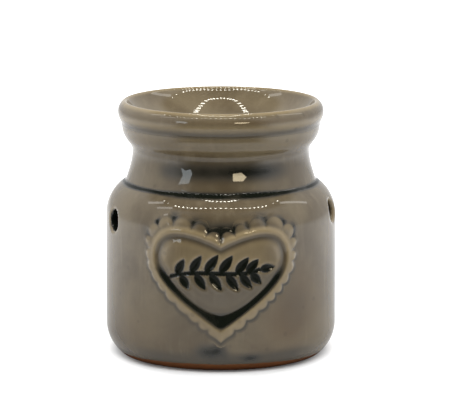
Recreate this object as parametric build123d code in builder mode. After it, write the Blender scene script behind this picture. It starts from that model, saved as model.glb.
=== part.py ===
"""A small glazed oil burner: a waisted pot with a candle doorway, an oil dish luted into its mouth,
a scalloped heart plaque on its front, and the tealight that heats the dish.

Millimetres. +Z is up, the origin is the centre of the foot, and the plaque faces -Y."""

import os
from math import cos, hypot, isclose, radians, sin

from build123d import *

# Pot: outside radius of the belly, and how far each level steps in or out from the one below
body_radius = 38.0
foot_step = 4.6
shoulder_step = 6.5
waist_step = 2.6
flare_step = 4.0

# Pot: height of each stretch of its side, from the foot to the mouth
foot_round_height = 9.7
wall_rise = 36.5
shoulder_rise = 11.5
neck_rise = 9.6
flare_rise = 9.7
neck_low_ease = 0.42
neck_high_ease = 0.42
flare_low_ease = 0.30
flare_high_ease = 0.60

# Pot: clay thicknesses and the hollow under the foot
wall_thickness = 4.4
floor_thickness = 5.0
floor_round = 6.0
foot_ring_width = 5.5
foot_recess = 1.0

# Pot: air vents beside the plaque, as turns from the front and rises above the straight wall
vent_diameter = 6.8
left_vent_turn = -67.0
left_vent_rise = 0.1
right_vent_turn = 75.4
right_vent_rise = 2.0

# Pot: candle doorway at the back
door_clearance = 3.2
door_top_gap = 2.5
door_edge_round = 1.0

# Oil dish
lip_overhang = 0.9
lip_cheek_height = 3.9
lip_roll_width = 1.9
lip_roll_rise = 3.4
crest_round = 0.9
dish_depth = 9.9
bowl_wall_width = 15.9
dish_thickness = 4.0
dish_clearance = 0.3
seam_round = 0.5

# Heart plaque: outline of its scalloped edge, and how far each level stands off the wall
heart_half_width = 24.2
heart_height = 40.0
heart_top_rise = 3.1
heart_side_drop = 12.4
heart_notch_drop = 5.4
scallop_radius = 3.4
scallop_pitch = 4.9
frame_width = 4.0
moat_width = 2.2
frame_relief = 1.3
pad_relief = 0.9
moat_relief = 0.4

# Heart plaque: pull of its curves as shares of its half width and lobe rise, and slope of its tip
notch_reach_share = 0.40
notch_rise_share = 0.22
lobe_rise_share = 1.42
flank_drop_share = 0.34
tip_reach_share = 0.38
tip_rise_share = 0.31
tip_slope = 52.0

# Tealight
cup_diameter = 38.0
cup_height = 16.0
cup_wall = 0.4
cup_draft = 0.5
cup_rim_width = 0.6
wax_height = 13.2
wax_clearance = 0.1
wax_edge_round = 0.8
wick_diameter = 1.9
wick_straight = 4.0
wick_lean = 22.0
wick_bend_radius = 9.0
wick_clearance = 0.05
sustainer_diameter = 13.0
sustainer_thickness = 0.4
sustainer_neck_height = 3.6
sustainer_neck_wall = 0.45

# Levels of the pot and dish
foot_radius = body_radius - foot_step
neck_base_radius = body_radius - shoulder_step
waist_radius = neck_base_radius - waist_step
mouth_radius = waist_radius + flare_step
shoulder_height = foot_round_height + wall_rise
neck_base_height = shoulder_height + shoulder_rise
waist_height = neck_base_height + neck_rise
mouth_height = waist_height + flare_rise
mouth_bore_radius = mouth_radius - wall_thickness
lip_radius = mouth_radius + lip_overhang
lip_height = mouth_height + lip_cheek_height
crest_radius = lip_radius - lip_roll_width
rim_height = lip_height + lip_roll_rise
bowl_flat_radius = crest_radius - bowl_wall_width
bowl_floor_height = rim_height - dish_depth
dish_base_height = bowl_floor_height - dish_thickness

# Places of the doorway, vents and heart
door_half_width = cup_diameter / 2 + door_clearance
door_top_height = shoulder_height - door_top_gap
door_spring_height = door_top_height - door_half_width
left_vent_height = shoulder_height + left_vent_rise
right_vent_height = shoulder_height + right_vent_rise
heart_lobe_height = shoulder_height + heart_top_rise
heart_side_height = heart_lobe_height - heart_side_drop
heart_notch_height = heart_lobe_height - heart_notch_drop
heart_tip_height = heart_lobe_height - heart_height

# Levels and radii of the tealight
cup_top_radius = cup_diameter / 2 - cup_rim_width
cup_foot_radius = cup_top_radius - cup_draft
cup_rim_height = floor_thickness + cup_height
cup_floor_height = floor_thickness + cup_wall
wax_top_height = cup_floor_height + wax_height
wax_top_radius = cup_foot_radius - cup_wall - wax_clearance + cup_draft * wax_height / cup_height
wick_foot_height = cup_floor_height + sustainer_thickness
neck_top_height = wick_foot_height + sustainer_neck_height
wick_radius = wick_diameter / 2
wick_bore_radius = wick_radius + wick_clearance
neck_radius = wick_bore_radius + sustainer_neck_wall
sustainer_radius = sustainer_diameter / 2


def belly_section(grow=0.0):
    """Half section of the solid belly, foot to neck base, grown outwards by a relief."""
    with BuildSketch(Plane.XZ) as belly:
        with BuildLine():
            wall = Line((body_radius + grow, foot_round_height), (body_radius + grow, shoulder_height))
            foot_round = TangentArc(wall @ 0, (foot_radius + grow, 0), tangent=(0, -1))
            shoulder = TangentArc(wall @ 1, (neck_base_radius + grow, neck_base_height), tangent=(0, 1))
            Polyline(foot_round @ 1, (0, 0), (0, neck_base_height), shoulder @ 1)
        make_face()
    return belly.sketch


def easy_curve(low, high, low_ease, high_ease):
    """Soft S-curve between two levels of the neck, upright at both ends."""
    rise = high[1] - low[1]
    return Bezier(low, (low[0], low[1] + low_ease * rise), (high[0], high[1] - high_ease * rise), high)


def neck_section(inset=0.0):
    """Half section of the solid neck, neck base to mouth, drawn in by a wall thickness."""
    with BuildSketch(Plane.XZ) as neck:
        with BuildLine():
            base = (neck_base_radius - inset, neck_base_height)
            waist = (waist_radius - inset, waist_height)
            mouth = (mouth_radius - inset, mouth_height)
            easy_curve(base, waist, neck_low_ease, neck_high_ease)
            easy_curve(waist, mouth, flare_low_ease, flare_high_ease)
            Polyline(base, (0, neck_base_height), (0, mouth_height), mouth)
        make_face()
    return neck.sketch


def cavity_section():
    """Half section of the candle chamber, floor to neck base."""
    inner_radius = body_radius - wall_thickness
    with BuildSketch(Plane.XZ) as cavity:
        with BuildLine():
            wall = Line((inner_radius, floor_thickness + floor_round), (inner_radius, shoulder_height))
            corner = TangentArc(wall @ 0, (inner_radius - floor_round, floor_thickness), tangent=(0, -1))
            shoulder = TangentArc(
                wall @ 1, (neck_base_radius - wall_thickness, neck_base_height), tangent=(0, 1)
            )
            Polyline(corner @ 1, (0, floor_thickness), (0, neck_base_height), shoulder @ 1)
        make_face()
    return cavity.sketch


def door_outline():
    """Arched doorway seen from the front: level with the chamber floor, round at the top."""
    with BuildSketch(Plane.XZ) as door:
        with BuildLine():
            Polyline(
                (-door_half_width, door_spring_height),
                (-door_half_width, floor_thickness),
                (door_half_width, floor_thickness),
                (door_half_width, door_spring_height),
            )
            ThreePointArc(
                (door_half_width, door_spring_height),
                (0, door_top_height),
                (-door_half_width, door_spring_height),
            )
        make_face()
    return door.sketch


def is_door_edge(edge):
    """Whether an edge runs round the doorway on the outside of the wall, above the sill."""
    middle = edge @ 0.5
    outside = hypot(middle.X, middle.Y) > body_radius - wall_thickness / 2
    across = middle.Y > 0 and abs(middle.X) < door_half_width + door_edge_round
    return outside and across and not isclose(middle.Z, floor_thickness)


def heart_line(inset):
    """Right half of the heart, notch to tip, drawn in from the scalloped edge."""
    half_width = heart_half_width - inset
    notch = (0, heart_notch_height - inset)
    side = (half_width, heart_side_height)
    tip = (0, heart_tip_height + inset / sin(radians(tip_slope)))
    lobe_rise = heart_lobe_height - heart_side_height - inset
    lobe = Bezier(
        notch,
        (notch_reach_share * half_width, notch[1] + notch_rise_share * half_width),
        (half_width, heart_side_height + lobe_rise_share * lobe_rise),
        side,
    )
    flank = Bezier(
        side,
        (half_width, heart_side_height - flank_drop_share * half_width),
        (tip_reach_share * half_width, tip[1] + tip_rise_share * half_width),
        tip,
    )
    return lobe, flank


def heart_outline(inset):
    """Heart-shaped face of the plaque's plane."""
    with BuildSketch(Plane.XZ) as heart:
        with BuildLine():
            heart_line(inset)
            mirror(about=Plane.YZ)
        make_face()
    return heart.sketch


def scalloped_outline():
    """Heart-shaped face with a row of round scallops along its edge."""
    with BuildLine(mode=Mode.PRIVATE) as half_edge:
        heart_line(scallop_radius)
    edge = half_edge.wire()
    count = round(edge.length / scallop_pitch)
    centres = [edge.position_at(i / count) for i in range(count + 1)]
    both_sides = centres + [Vector(-c.X, c.Y) for c in centres[1:-1]]
    with BuildSketch(Plane.XZ) as scallops:
        with BuildLine():
            heart_line(scallop_radius)
            mirror(about=Plane.YZ)
        make_face()
        with Locations(*both_sides):
            Circle(scallop_radius)
    return scallops.sketch


# Burner body: turned pot, hollowed, with the doorway and vents cut through its wall
with BuildPart() as burner_body:
    revolve(belly_section(), axis=Axis.Z)
    revolve(neck_section(), axis=Axis.Z)
    revolve(cavity_section(), axis=Axis.Z, mode=Mode.SUBTRACT)
    revolve(neck_section(wall_thickness), axis=Axis.Z, mode=Mode.SUBTRACT)
    with BuildSketch():
        Circle(foot_radius - foot_ring_width)
    extrude(amount=foot_recess, mode=Mode.SUBTRACT)
    mouth_edges = burner_body.edges().filter_by(GeomType.CIRCLE).group_by(Axis.Z)[-1]
    fillet(mouth_edges.sort_by(SortBy.RADIUS)[-1], seam_round)
    extrude(door_outline(), amount=-2 * body_radius, mode=Mode.SUBTRACT)
    fillet(burner_body.edges(Select.LAST).filter_by(is_door_edge), door_edge_round)
    for turn, height in ((left_vent_turn, left_vent_height), (right_vent_turn, right_vent_height)):
        outward = (sin(radians(turn)), -cos(radians(turn)), 0)
        with BuildSketch(Plane((0, 0, height), z_dir=outward)):
            Circle(vent_diameter / 2)
        extrude(amount=2 * body_radius, mode=Mode.SUBTRACT)
burner_body.part.label = "burner_body"

# Oil dish: shallow bowl whose rolled lip sits on the pot's mouth
with BuildPart() as oil_dish:
    with BuildSketch(Plane.XZ):
        with BuildLine():
            seat = Line((mouth_bore_radius - dish_clearance, mouth_height), (mouth_radius, mouth_height))
            cheek = TangentArc((lip_radius, lip_height), seat @ 1, tangent=(0, -1))
            roll = TangentArc(cheek @ 0, (crest_radius, rim_height), tangent=(0, 1))
            bowl_floor = Line((0, bowl_floor_height), (bowl_flat_radius, bowl_floor_height))
            TangentArc(bowl_floor @ 1, roll @ 1, tangent=(1, 0))
            underside = Line((0, dish_base_height), (bowl_flat_radius, dish_base_height))
            TangentArc(underside @ 1, seat @ 0, tangent=(1, 0))
            Line(bowl_floor @ 0, underside @ 0)
        make_face()
    revolve(axis=Axis.Z)
    crest_edge = oil_dish.edges().filter_by(GeomType.CIRCLE).group_by(Axis.Z)[-1]
    fillet(crest_edge, crest_round)
    seam_edge = (
        oil_dish.edges()
        .filter_by(GeomType.CIRCLE)
        .filter_by_position(Axis.Z, mouth_height - seam_round / 2, mouth_height + seam_round / 2)
        .sort_by(SortBy.RADIUS)[-1]
    )
    fillet(seam_edge, seam_round)
oil_dish.part.label = "oil_dish"

# Levels inside the heart's frame
with BuildPart() as heart_field:
    extrude(heart_outline(frame_width), amount=2 * body_radius)
    revolve(belly_section(moat_relief), axis=Axis.Z, mode=Mode.INTERSECT)

with BuildPart() as heart_pad:
    extrude(heart_outline(frame_width + moat_width), amount=2 * body_radius)
    revolve(belly_section(pad_relief), axis=Axis.Z, mode=Mode.INTERSECT)

# Heart plaque: scalloped frame, sunken moat and raised pad, pressed onto the belly's own curve
with BuildPart() as heart_plaque:
    extrude(scalloped_outline(), amount=2 * body_radius)
    extrude(heart_outline(frame_width), amount=2 * body_radius, mode=Mode.SUBTRACT)
    revolve(belly_section(frame_relief), axis=Axis.Z, mode=Mode.INTERSECT)
    add(heart_field.part)
    add(heart_pad.part)
    revolve(belly_section(), axis=Axis.Z, mode=Mode.SUBTRACT)
heart_plaque.part.label = "heart_plaque"

# Tealight cup: thin drawn aluminium with a flat rim
with BuildPart() as tealight_cup:
    with BuildSketch(Plane.XZ):
        with BuildLine():
            Polyline(
                (0, floor_thickness),
                (cup_foot_radius, floor_thickness),
                (cup_top_radius, cup_rim_height - cup_wall),
                (cup_diameter / 2, cup_rim_height - cup_wall),
                (cup_diameter / 2, cup_rim_height),
                (cup_top_radius - cup_wall, cup_rim_height),
                (cup_foot_radius - cup_wall, cup_floor_height),
                (0, cup_floor_height),
                close=True,
            )
        make_face()
    revolve(axis=Axis.Z)
tealight_cup.part.label = "tealight_cup"

# Tealight wax: fills the cup around the sustainer, with a bore for the wick
with BuildPart() as tealight_wax:
    with BuildSketch(Plane.XZ):
        with BuildLine():
            Polyline(
                (sustainer_radius + wax_clearance, cup_floor_height),
                (cup_foot_radius - cup_wall - wax_clearance, cup_floor_height),
                (wax_top_radius, wax_top_height),
                (wick_bore_radius, wax_top_height),
                (wick_bore_radius, neck_top_height + wax_clearance),
                (neck_radius + wax_clearance, neck_top_height + wax_clearance),
                (neck_radius + wax_clearance, wick_foot_height + wax_clearance),
                (sustainer_radius + wax_clearance, wick_foot_height + wax_clearance),
                close=True,
            )
        make_face()
    revolve(axis=Axis.Z)
    top_edge = tealight_wax.edges().group_by(Axis.Z)[-1].sort_by(SortBy.RADIUS)[-1]
    fillet(top_edge, wax_edge_round)
tealight_wax.part.label = "tealight_wax"

# Wick sustainer: disc on the cup's floor with a neck that grips the wick
with BuildPart() as wick_sustainer:
    with BuildSketch(Plane.XY.offset(cup_floor_height)):
        Circle(sustainer_radius)
    extrude(amount=sustainer_thickness)
    with BuildSketch(Plane.XY.offset(wick_foot_height)):
        Circle(neck_radius)
        Circle(wick_bore_radius, mode=Mode.SUBTRACT)
    extrude(amount=sustainer_neck_height)
wick_sustainer.part.label = "wick_sustainer"

# Tealight wick: stands on the sustainer and leans over at its free end
with BuildPart() as tealight_wick:
    with BuildLine() as wick_path:
        stem = Line((0, 0, wick_foot_height), (0, 0, wax_top_height + wick_straight))
        lean_out = wick_bend_radius * (1 - cos(radians(wick_lean)))
        lean_up = wick_bend_radius * sin(radians(wick_lean))
        TangentArc(stem @ 1, (stem @ 1) + Vector(lean_out, 0, lean_up), tangent=(0, 0, 1))
    with BuildSketch(Plane.XY.offset(wick_foot_height)):
        Circle(wick_radius)
    sweep(path=wick_path.wire())
tealight_wick.part.label = "tealight_wick"

os.makedirs("parts", exist_ok=True)
for piece in (
    burner_body,
    oil_dish,
    heart_plaque,
    tealight_cup,
    tealight_wax,
    wick_sustainer,
    tealight_wick,
):
    export_step(piece.part, f"parts/{piece.part.label}.step")
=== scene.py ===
"""Looks of a small glazed oil burner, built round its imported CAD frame.

Lengths in the tables are millimetres, as in the part's source; meshes are made in metres. Turns are
degrees from the front (-Y), growing towards +X."""

import math

import bpy
import numpy as np
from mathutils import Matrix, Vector


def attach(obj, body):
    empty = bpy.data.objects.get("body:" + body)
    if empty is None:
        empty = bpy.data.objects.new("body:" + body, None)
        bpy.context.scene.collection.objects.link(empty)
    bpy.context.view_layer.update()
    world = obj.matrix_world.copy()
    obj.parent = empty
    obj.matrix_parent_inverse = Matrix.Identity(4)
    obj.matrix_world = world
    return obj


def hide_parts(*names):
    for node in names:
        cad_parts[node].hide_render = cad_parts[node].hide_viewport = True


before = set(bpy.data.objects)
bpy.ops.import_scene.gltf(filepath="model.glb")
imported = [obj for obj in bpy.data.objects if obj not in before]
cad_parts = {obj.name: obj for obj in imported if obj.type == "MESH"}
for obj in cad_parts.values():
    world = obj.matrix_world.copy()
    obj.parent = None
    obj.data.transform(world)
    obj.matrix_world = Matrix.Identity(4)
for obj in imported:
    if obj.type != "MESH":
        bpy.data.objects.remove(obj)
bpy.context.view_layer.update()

MM = 0.001

# Pot, as in the part's source
FOOT_R, BODY_R, NECK_BASE_R, WAIST_R, MOUTH_R = 33.4, 38.2, 31.5, 29.35, 32.9
FOOT_ROUND_Z, SHOULDER_Z, NECK_BASE_Z, WAIST_Z, MOUTH_Z = 9.7, 46.2, 57.7, 67.3, 77.0
WALL, FLOOR_Z, FLOOR_ROUND, FOOT_RING, FOOT_RECESS = 4.4, 5.0, 6.0, 5.5, 1.0
NECK_EASES, FLARE_EASES = (0.07, 0.42), (0.36, 0.66)
VENT_R = 3.4
VENTS = ((-67.8, 46.1), (76.2, 48.4))
DOOR_HALF, DOOR_TOP_Z = 22.2, 43.7

# Oil dish
LIP_R, LIP_Z, CREST_R, CREST_Z, CREST_ROUND = 34.1, 80.45, 31.4, 84.30, 1.0
BOWL_Z, BOWL_FLAT_R, DISH_T = 74.4, 16.0, 4.0
LAP_DROP, LAP_RISE, LAP_PROUD = 1.0, 1.3, 0.06

# Heart plaque, in arc length along the wall and height: half width, then the levels of side, lobe,
# notch and tip
HEART_INNER = (21.7, 36.9, 45.6, 41.3, 14.6)
HEART_EDGE = (25.7, 36.9, 49.0, 44.0, 10.0)
SCALLOP_DEPTH, CROWN_REACH = 1.15, 2.0
# Scallops counted from the notch, against the share of the outline that they have passed
SCALLOP_SHARES = (0.0, 0.034, 0.069, 0.110, 0.151, 0.187, 0.5)
SCALLOP_COUNTS = (0, 1, 2, 3, 4, 5, 15.5)
NOTCH_POOL_Z = 46.6

# Tealight
CUP_R, CUP_WALL_R, CUP_FOOT_R, CUP_RIM_Z = 19.0, 18.4, 17.9, 21.0
CUP_WALL, CUP_FLOOR_Z, WAX_Z, WICK_Z = 0.4, 5.4, 18.6, 5.8
WICK_R, WICK_STRAIGHT, WICK_LEAN, WICK_BEND_R = 0.95, 4.0, 22.0, 9.0


# Small geometry helpers


def arc(centre, radius, start, end, steps):
    """Points on an arc in the section plane, from one angle to another in degrees."""
    turns = np.radians(np.linspace(start, end, steps))
    return np.c_[centre[0] + radius * np.cos(turns), centre[1] + radius * np.sin(turns)]


def bezier(a, b, c, d, steps):
    """Points on a cubic Bezier curve."""
    t = np.linspace(0, 1, steps)[:, None]
    a, b, c, d = (np.asarray(p, float) for p in (a, b, c, d))
    return (1 - t) ** 3 * a + 3 * (1 - t) ** 2 * t * b + 3 * (1 - t) * t**2 * c + t**3 * d


def easy_curve(low, high, eases, steps=40):
    """Soft S-curve between two levels of the neck, upright at both ends."""
    rise = high[1] - low[1]
    return bezier(low, (low[0], low[1] + eases[0] * rise), (high[0], high[1] - eases[1] * rise), high, steps)


def tangent_radius(run, rise):
    """Radius of the arc that leaves upright and ends run inwards and rise along."""
    return (run**2 + rise**2) / (2 * run)


def smooth_step(low, high, value):
    t = np.clip((value - low) / (high - low), 0, 1)
    return t * t * (3 - 2 * t)


def swell(value, middle, width):
    """Soft rise to one round a middle value."""
    return np.exp(-(((value - middle) / width) ** 2))


def add_attributes(mesh, values):
    """Float attributes on a mesh's points."""
    for label, value in values.items():
        mesh.attributes.new(label, "FLOAT", "POINT").data.foreach_set("value", value.astype(np.float32))


def link_object(name, data):
    """New object in the scene for some data."""
    obj = bpy.data.objects.new(name, data)
    bpy.context.scene.collection.objects.link(obj)
    return obj


def new_mesh_object(name, points_mm, faces, attributes):
    """Mesh object at the origin from millimetre points, with float attributes on its points."""
    mesh = bpy.data.meshes.new(name)
    mesh.from_pydata((np.asarray(points_mm) * MM).tolist(), [], np.asarray(faces).tolist())
    add_attributes(mesh, attributes)
    mesh.shade_smooth()
    return link_object(name, mesh)


# The pot's section


def wall_line(inset):
    """The pot's side from the top of its bottom rounding to the mouth, drawn in by a thickness."""
    shoulder_r = tangent_radius(BODY_R - NECK_BASE_R, NECK_BASE_Z - SHOULDER_Z)
    centre = (BODY_R - shoulder_r, SHOULDER_Z)
    reach = math.degrees(math.asin((NECK_BASE_Z - SHOULDER_Z) / shoulder_r))
    shoulder = arc(centre, shoulder_r, 0, reach, 40) - (inset, 0)
    lower = easy_curve((NECK_BASE_R - inset, NECK_BASE_Z), (WAIST_R - inset, WAIST_Z), NECK_EASES)
    upper = easy_curve((WAIST_R - inset, WAIST_Z), (MOUTH_R - inset, MOUTH_Z), FLARE_EASES)
    return np.vstack([shoulder, lower[1:], upper[1:]])


def foot_line():
    """The pot's underside and bottom rounding, from the axis outwards."""
    radius = tangent_radius(BODY_R - FOOT_R, FOOT_ROUND_Z)
    start = -math.degrees(math.asin(FOOT_ROUND_Z / radius))
    ring = FOOT_R - FOOT_RING
    rounding = arc((BODY_R - radius, FOOT_ROUND_Z), radius, start, 0, 30)
    return np.vstack([[(0, FOOT_RECESS), (ring, FOOT_RECESS), (ring, 0)], rounding])


def shell_section():
    """Closed section of the hollow pot, axis to axis."""
    inner = BODY_R - WALL
    corner = arc((inner - FLOOR_ROUND, FLOOR_Z + FLOOR_ROUND), FLOOR_ROUND, 0, -90, 20)
    return np.vstack([foot_line(), wall_line(0), wall_line(WALL)[::-1], corner, [(0, FLOOR_Z)]])


def filled_section():
    """Closed section of the pot as if it were solid."""
    return np.vstack([foot_line(), wall_line(0), [(0, MOUTH_Z)]])


# Smooth distance tables, read by cubic B-splines

TABLE_STEP = 0.2
TABLE_R0, TABLE_Z0 = -1.0, -4.0
TABLE_SHAPE = (236, 430)


def distance_table(section):
    """Signed distance to a section, negative in the clay, on a grid of radius and height."""
    radii = np.abs(TABLE_R0 + TABLE_STEP * np.arange(TABLE_SHAPE[0]))
    heights = TABLE_Z0 + TABLE_STEP * np.arange(TABLE_SHAPE[1])
    start, end = section[:-1], section[1:]
    run = end - start
    length2 = np.maximum((run**2).sum(1), 1e-12)
    loop = np.vstack([section, section[:1]])
    table = np.empty(TABLE_SHAPE)
    for i, radius in enumerate(radii):
        spot = np.stack([np.full_like(heights, radius), heights], 1)[:, None, :]
        t = np.clip(((spot - start) * run).sum(2) / length2, 0, 1)
        away = np.sqrt((((start + t[..., None] * run) - spot) ** 2).sum(2)).min(1)
        z0, z1 = loop[:-1, 1], loop[1:, 1]
        crosses = (z0 > heights[:, None]) != (z1 > heights[:, None])
        with np.errstate(divide="ignore", invalid="ignore"):
            at = loop[:-1, 0] + (heights[:, None] - z0) / (z1 - z0) * (loop[1:, 0] - loop[:-1, 0])
        inside = (crosses & (radius < at)).sum(1) % 2 == 1
        table[i] = np.where(inside, -away, away)
    return table


def spline_weights(f):
    """Cubic B-spline weights and their slopes at a fraction of a step."""
    g = 1 - f
    weights = (g**3 / 6, (3 * f**3 - 6 * f**2 + 4) / 6, (3 * g**3 - 6 * g**2 + 4) / 6, f**3 / 6)
    slopes = (-(g**2) / 2, (3 * f**2 - 4 * f) / 2, (4 * g - 3 * g**2) / 2, f**2 / 2)
    return weights, slopes


def read_table(table, points):
    """Field of a turned section at 3-D points: values and gradients."""
    radius = np.hypot(points[:, 0], points[:, 1])
    u = (radius - TABLE_R0) / TABLE_STEP
    v = np.clip((points[:, 2] - TABLE_Z0) / TABLE_STEP, 1, TABLE_SHAPE[1] - 3.001)
    u = np.clip(u, 1, TABLE_SHAPE[0] - 3.001)
    i, j = u.astype(int), v.astype(int)
    (wu, du), (wv, dv) = spline_weights(u - i), spline_weights(v - j)
    value, slope_r, slope_z = (np.zeros(len(points)) for _ in range(3))
    for a in range(4):
        for b in range(4):
            sample = table[i + a - 1, j + b - 1]
            value += wu[a] * wv[b] * sample
            slope_r += du[a] * wv[b] * sample
            slope_z += wu[a] * dv[b] * sample
    away = np.maximum(radius, 1e-9)
    gradient = np.c_[slope_r * points[:, 0] / away, slope_r * points[:, 1] / away, slope_z] / TABLE_STEP
    return value, gradient


def soft_max(first, second, blend):
    """Intersection of two fields with a rounded edge, and how near each point is to that edge."""
    (a, da), (b, db) = first, second
    share = np.clip(0.5 + 0.5 * (a - b) / blend, 0, 1)
    value = share * a + (1 - share) * b + blend * share * (1 - share)
    return (value, share[:, None] * da + (1 - share[:, None]) * db), 4 * share * (1 - share)


SHELL, FILLED = distance_table(shell_section()), distance_table(filled_section())
DOOR_BLEND, VENT_BLEND, SILL_BLEND = 2.6, 1.3, 2.0
FAR = 99.0


def pot_field(points):
    """Field of the pot with its doorway and vents: (values, gradients), and nearness to a cut edge."""
    x, y, z = points.T
    spring = DOOR_TOP_Z - DOOR_HALF
    above = np.maximum(z - spring, 0)
    across = np.maximum(np.hypot(x, above), 1e-9)
    zero = np.zeros_like(x)
    door = np.where(y > 0, DOOR_HALF - across, -FAR)
    field, edge = soft_max(
        read_table(SHELL, points), (door, np.c_[-x / across, zero, -above / across]), DOOR_BLEND
    )
    for turn, height in VENTS:
        out = np.array([math.sin(math.radians(turn)), -math.cos(math.radians(turn)), 0])
        along = points @ out
        side = points - along[:, None] * out - (0, 0, height)
        reach = np.maximum(np.linalg.norm(side, axis=1), 1e-9)
        hole = np.where(along > 0, VENT_R - reach, -FAR)
        field, rim = soft_max(field, (hole, -side / reach[:, None]), VENT_BLEND)
        edge = np.maximum(edge, rim)
    top = np.c_[zero, zero, zero + 1]
    slab, sill = soft_max(read_table(FILLED, points), (z - FLOOR_Z, top), SILL_BLEND)
    lower = slab[0] < field[0]
    value = np.where(lower, slab[0], field[0])
    gradient = np.where(lower[:, None], slab[1], field[1])
    return (value, gradient), np.where(lower, sill, edge)


def surface_net(field, low, high, step):
    """Quads of a field's zero surface: one point in each cell that the surface crosses."""
    axes = [np.arange(a, b + step, step) for a, b in zip(low, high)]
    plane = np.stack(np.meshgrid(axes[0], axes[1], indexing="ij"), -1).reshape(-1, 2)
    inside = np.stack(
        [
            (field(np.c_[plane, np.full(len(plane), z)])[0][0] < 0).reshape(len(axes[0]), len(axes[1]))
            for z in axes[2]
        ],
        -1,
    )
    shape = np.array(inside.shape) - 1
    count = sum(
        inside[i : i + shape[0], j : j + shape[1], k : k + shape[2]].astype(int)
        for i in (0, 1) for j in (0, 1) for k in (0, 1)
    )
    cells = np.argwhere((count > 0) & (count < 8))
    index = -np.ones(shape, int)
    index[tuple(cells.T)] = np.arange(len(cells))
    points = np.array(low) + (cells + 0.5) * step
    quads = []
    for axis in range(3):
        one, two = (axis + 1) % 3, (axis + 2) % 3
        ahead = np.moveaxis(inside, axis, 0)
        change = np.argwhere(np.moveaxis(ahead[:-1] != ahead[1:], 0, axis))
        change = change[(change[:, one] > 0) & (change[:, two] > 0)]
        back_one, back_two = np.eye(3, dtype=int)[one], np.eye(3, dtype=int)[two]
        ring = [change - back_one - back_two, change - back_two, change, change - back_one]
        quad = np.stack([index[tuple(c.T)] for c in ring], 1)
        leaving = inside[tuple(change.T)]
        quads.append(np.where(leaving[:, None], quad, quad[:, ::-1]))
    return points, np.vstack(quads)


def settle(field, points, quads, rounds):
    """Pull the net onto the surface, evening out its cells along the way."""
    edges = np.vstack([quads[:, [i, (i + 1) % 4]] for i in range(4)])
    degree = np.bincount(edges.ravel(), minlength=len(points))[:, None]
    for i in range(rounds + 4):
        if i < rounds:
            total = np.zeros_like(points)
            for a, b in ((0, 1), (1, 0)):
                for k in range(3):
                    total[:, k] += np.bincount(edges[:, a], points[edges[:, b], k], len(points))
            points = points + 0.6 * (total / degree - points)
        (value, gradient), _ = field(points)
        points = points - (value / np.maximum((gradient**2).sum(1), 0.05))[:, None] * gradient
    return points


# Shader helpers


class Nodes:
    """Short way to add and join nodes in one tree."""

    def __init__(self, tree):
        self.tree = tree
        self.spot = 0

    def add(self, kind, inputs=None, **settings):
        node = self.tree.nodes.new(kind)
        self.spot += 1
        node.location = (220 * (self.spot % 8), -260 * (self.spot // 8))
        for key, value in settings.items():
            setattr(node, key, value)
        for key, value in (inputs or {}).items():
            self.put(node.inputs[key], value)
        return node

    def put(self, socket, value):
        if isinstance(value, bpy.types.NodeSocket):
            self.tree.links.new(value, socket)
        else:
            socket.default_value = value

    def math(self, operation, first, second=0.0, third=0.0, clamp=False):
        values = {0: first, 1: second, 2: third}
        return self.add("ShaderNodeMath", values, operation=operation, use_clamp=clamp).outputs[0]

    def span(self, value, low, high, to_low=0.0, to_high=1.0):
        """Smooth step of a value between two levels."""
        node = self.add(
            "ShaderNodeMapRange",
            {"Value": value, "From Min": low, "From Max": high, "To Min": to_low, "To Max": to_high},
            interpolation_type="SMOOTHSTEP",
        )
        return node.outputs["Result"]

    def noise(self, where, scale, detail=3.0, roughness=0.5, distortion=0.0):
        grain = {"Scale": scale, "Detail": detail, "Roughness": roughness, "Distortion": distortion}
        return self.add("ShaderNodeTexNoise", {"Vector": where, **grain}).outputs["Fac"]

    def mix(self, share, first, second, blend="MIX"):
        node = self.add("ShaderNodeMix", data_type="RGBA", blend_type=blend)
        for socket, value in ((node.inputs[0], share), (node.inputs[6], first), (node.inputs[7], second)):
            self.put(socket, value)
        return node.outputs[2]

    def stretch(self, where, scale):
        return self.add("ShaderNodeMapping", {"Vector": where, "Scale": scale}).outputs["Vector"]

    def attribute(self, name):
        return self.add("ShaderNodeAttribute", attribute_name=name).outputs["Fac"]

    def mottle(self, where, cloud, grain=900.0, speck=420.0):
        """Clouds, grain and specks at the given scales."""
        scales = {"Cloud Scale": cloud, "Grain Scale": grain, "Speck Scale": speck}
        return self.add("ShaderNodeGroup", {"Where": where, **scales}, node_tree=MOTTLE)

    def bump(self, shader, strength, distance, height):
        """Bend a shader's normal by a height."""
        node = self.add("ShaderNodeBump", {"Strength": strength, "Distance": distance, "Height": height})
        self.put(shader.inputs["Normal"], node.outputs["Normal"])


def new_group(name, inputs, outputs, kind_of_tree="ShaderNodeTree"):
    """Node group with named sockets; returns it with its helper and end nodes."""
    tree = bpy.data.node_groups.new(name, kind_of_tree)
    for label, kind, value in inputs:
        socket = tree.interface.new_socket(label, in_out="INPUT", socket_type=kind)
        if value is not None:
            socket.default_value = value
    for label, kind in outputs:
        tree.interface.new_socket(label, in_out="OUTPUT", socket_type=kind)
    nodes = Nodes(tree)
    return tree, nodes, nodes.add("NodeGroupInput"), nodes.add("NodeGroupOutput")


def new_material(name):
    material = bpy.data.materials.new(name)
    material.use_nodes = True
    nodes = Nodes(material.node_tree)
    shader = material.node_tree.nodes["Principled BSDF"]
    where = nodes.add("ShaderNodeTexCoord").outputs["Object"]
    return material, nodes, shader, where


def grey(value):
    return (value, value, value, 1.0)


FLOAT, COLOUR, VECTOR = "NodeSocketFloat", "NodeSocketColor", "NodeSocketVector"
GEOMETRY, WHOLE, FINISH = "NodeSocketGeometry", "NodeSocketInt", "NodeSocketMaterial"


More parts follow.
